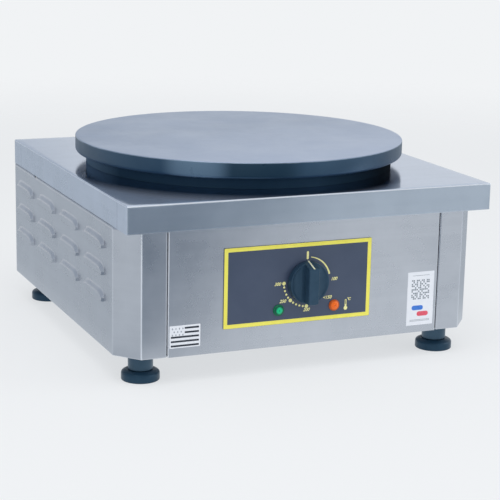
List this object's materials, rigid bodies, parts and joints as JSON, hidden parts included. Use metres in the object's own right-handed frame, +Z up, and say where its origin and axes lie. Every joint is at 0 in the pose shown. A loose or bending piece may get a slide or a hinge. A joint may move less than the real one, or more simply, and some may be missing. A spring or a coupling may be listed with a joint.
{
  "type": "electric crepe maker",
  "caption": "Countertop electric crepe maker: round cast-iron griddle on a square louvred stainless case with a dial, pilot lamps and levelling feet.",
  "frame": {"origin": "on the table under the middle of the machine, at the centre of the bottom of its bounding box", "axes": "+Z up, +X to the operator's right, +Y from the control panel to the back"},
  "size_m": [0.4534, 0.457, 0.2413],
  "materials": {
    "plate_iron": "satin",
    "zinc_steel": "satin",
    "screw_steel": "satin",
    "element_sheath": "satin",
    "terminal_steel": "satin",
    "bright_aluminium": "polished",
    "ceramic_fibre": "matte",
    "pan_steel": "satin",
    "ring_black": "satin",
    "copper": "satin",
    "steatite": "satin",
    "brushed_stainless": "satin",
    "galvanised_tray": "matte",
    "fascia_print": "satin",
    "knob_plastic": "satin",
    "lens_green": "gloss",
    "lens_orange": "gloss",
    "lamp_plastic": "satin",
    "sticker_striped": "satin",
    "label_white": "satin",
    "gland_plastic": "satin",
    "gland_rubber": "matte",
    "nut_brass": "satin",
    "lead_sleeve": "matte",
    "foot_plastic": "satin",
    "foot_screw_plastic": "satin"
  },
  "bodies": {
    "case": {"base_screws": "screw_steel", "base_tray": "galvanised_tray", "bonding_nuts": "nut_brass", "bonding_stud": "screw_steel", "bulb_clip": "zinc_steel", "capillary_tube": "copper", "element_clamp_bars": "zinc_steel", "element_terminals": "terminal_steel", "fascia_plate": "fascia_print", "foot_weld_nuts": "zinc_steel", "front_panel": "brushed_stainless", "gland_body": "gland_plastic", "gland_locknut": "gland_plastic", "gland_nut": "gland_plastic", "gland_seal": "gland_rubber", "griddle_plate": "plate_iron", "heat_ring": "ring_black", "heating_loop_inner": "element_sheath", "heating_loop_middle": "element_sheath", "heating_loop_outer": "element_sheath", "insulation_board": "ceramic_fibre", "insulation_pan": "pan_steel", "lamp_clips": "zinc_steel", "left_side_casing": "brushed_stainless", "pilot_lamp_bodies": "lamp_plastic", "pilot_lens_green": "lens_green", "pilot_lens_orange": "lens_orange", "plate_studs": "zinc_steel", "rear_panel": "brushed_stainless", "rear_screws": "screw_steel", "reflector_dish": "bright_aluminium", "right_side_casing": "brushed_stainless", "ring_rivets": "bright_aluminium", "seam_screws": "zinc_steel", "sensing_bulb": "copper", "spacer_tubes": "zinc_steel", "striped_sticker": "sticker_striped", "stud_nuts": "zinc_steel", "support_rails": "zinc_steel", "terminal_block": "steatite", "terminal_screws": "screw_steel", "thermostat_bracket": "zinc_steel", "thermostat_housing": "zinc_steel", "thermostat_switch_base": "steatite", "top_cover": "brushed_stainless", "weld_stud_nuts": "zinc_steel", "weld_studs": "zinc_steel", "white_label": "label_white", "wiring_leads": "lead_sleeve"},
    "dial": {"control_knob": "knob_plastic", "thermostat_shaft": "screw_steel"},
    "foot_front_left": {"foot_pad_front_left": "foot_plastic"},
    "screw_front_left": {"foot_screw_front_left": "foot_screw_plastic"},
    "foot_front_right": {"foot_pad_front_right": "foot_plastic"},
    "screw_front_right": {"foot_screw_front_right": "foot_screw_plastic"},
    "foot_rear_left": {"foot_pad_rear_left": "foot_plastic"},
    "screw_rear_left": {"foot_screw_rear_left": "foot_screw_plastic"},
    "foot_rear_right": {"foot_pad_rear_right": "foot_plastic"},
    "screw_rear_right": {"foot_screw_rear_right": "foot_screw_plastic"}
  },
  "joints": [
    {"name": "dial_turn", "type": "hinge", "parent": "case", "child": "dial", "pos_m": [-0.0014, -0.21, 0.1055], "axis": [0, 1, 0], "range_deg": [0, 270]},
    {"name": "foot_lift_front_left", "type": "slide", "parent": "case", "child": "foot_front_left", "axis": [0, 0, -1], "range_m": [0, 0.012]},
    {"name": "foot_turn_front_left", "type": "hinge", "parent": "foot_front_left", "child": "screw_front_left", "pos_m": [-0.1873, -0.1726, 0.02], "axis": [0, 0, 1], "range_deg": [0, 2880]},
    {"name": "foot_lift_front_right", "type": "slide", "parent": "case", "child": "foot_front_right", "axis": [0, 0, -1], "range_m": [0, 0.012]},
    {"name": "foot_turn_front_right", "type": "hinge", "parent": "foot_front_right", "child": "screw_front_right", "pos_m": [0.1873, -0.1726, 0.02], "axis": [0, 0, 1], "range_deg": [0, 2880]},
    {"name": "foot_lift_rear_left", "type": "slide", "parent": "case", "child": "foot_rear_left", "axis": [0, 0, -1], "range_m": [0, 0.012]},
    {"name": "foot_turn_rear_left", "type": "hinge", "parent": "foot_rear_left", "child": "screw_rear_left", "pos_m": [-0.1873, 0.1965, 0.02], "axis": [0, 0, 1], "range_deg": [0, 2880]},
    {"name": "foot_lift_rear_right", "type": "slide", "parent": "case", "child": "foot_rear_right", "axis": [0, 0, -1], "range_m": [0, 0.012]},
    {"name": "foot_turn_rear_right", "type": "hinge", "parent": "foot_rear_right", "child": "screw_rear_right", "pos_m": [0.1873, 0.1965, 0.02], "axis": [0, 0, 1], "range_deg": [0, 2880]}
  ],
  "couplings": [
    {"joint": "foot_lift_front_left", "follows": "foot_turn_front_left", "m_per_rad": 0.00023873},
    {"joint": "foot_lift_front_right", "follows": "foot_turn_front_right", "m_per_rad": 0.00023873},
    {"joint": "foot_lift_rear_left", "follows": "foot_turn_rear_left", "m_per_rad": 0.00023873},
    {"joint": "foot_lift_rear_right", "follows": "foot_turn_rear_right", "m_per_rad": 0.00023873}
  ]
}
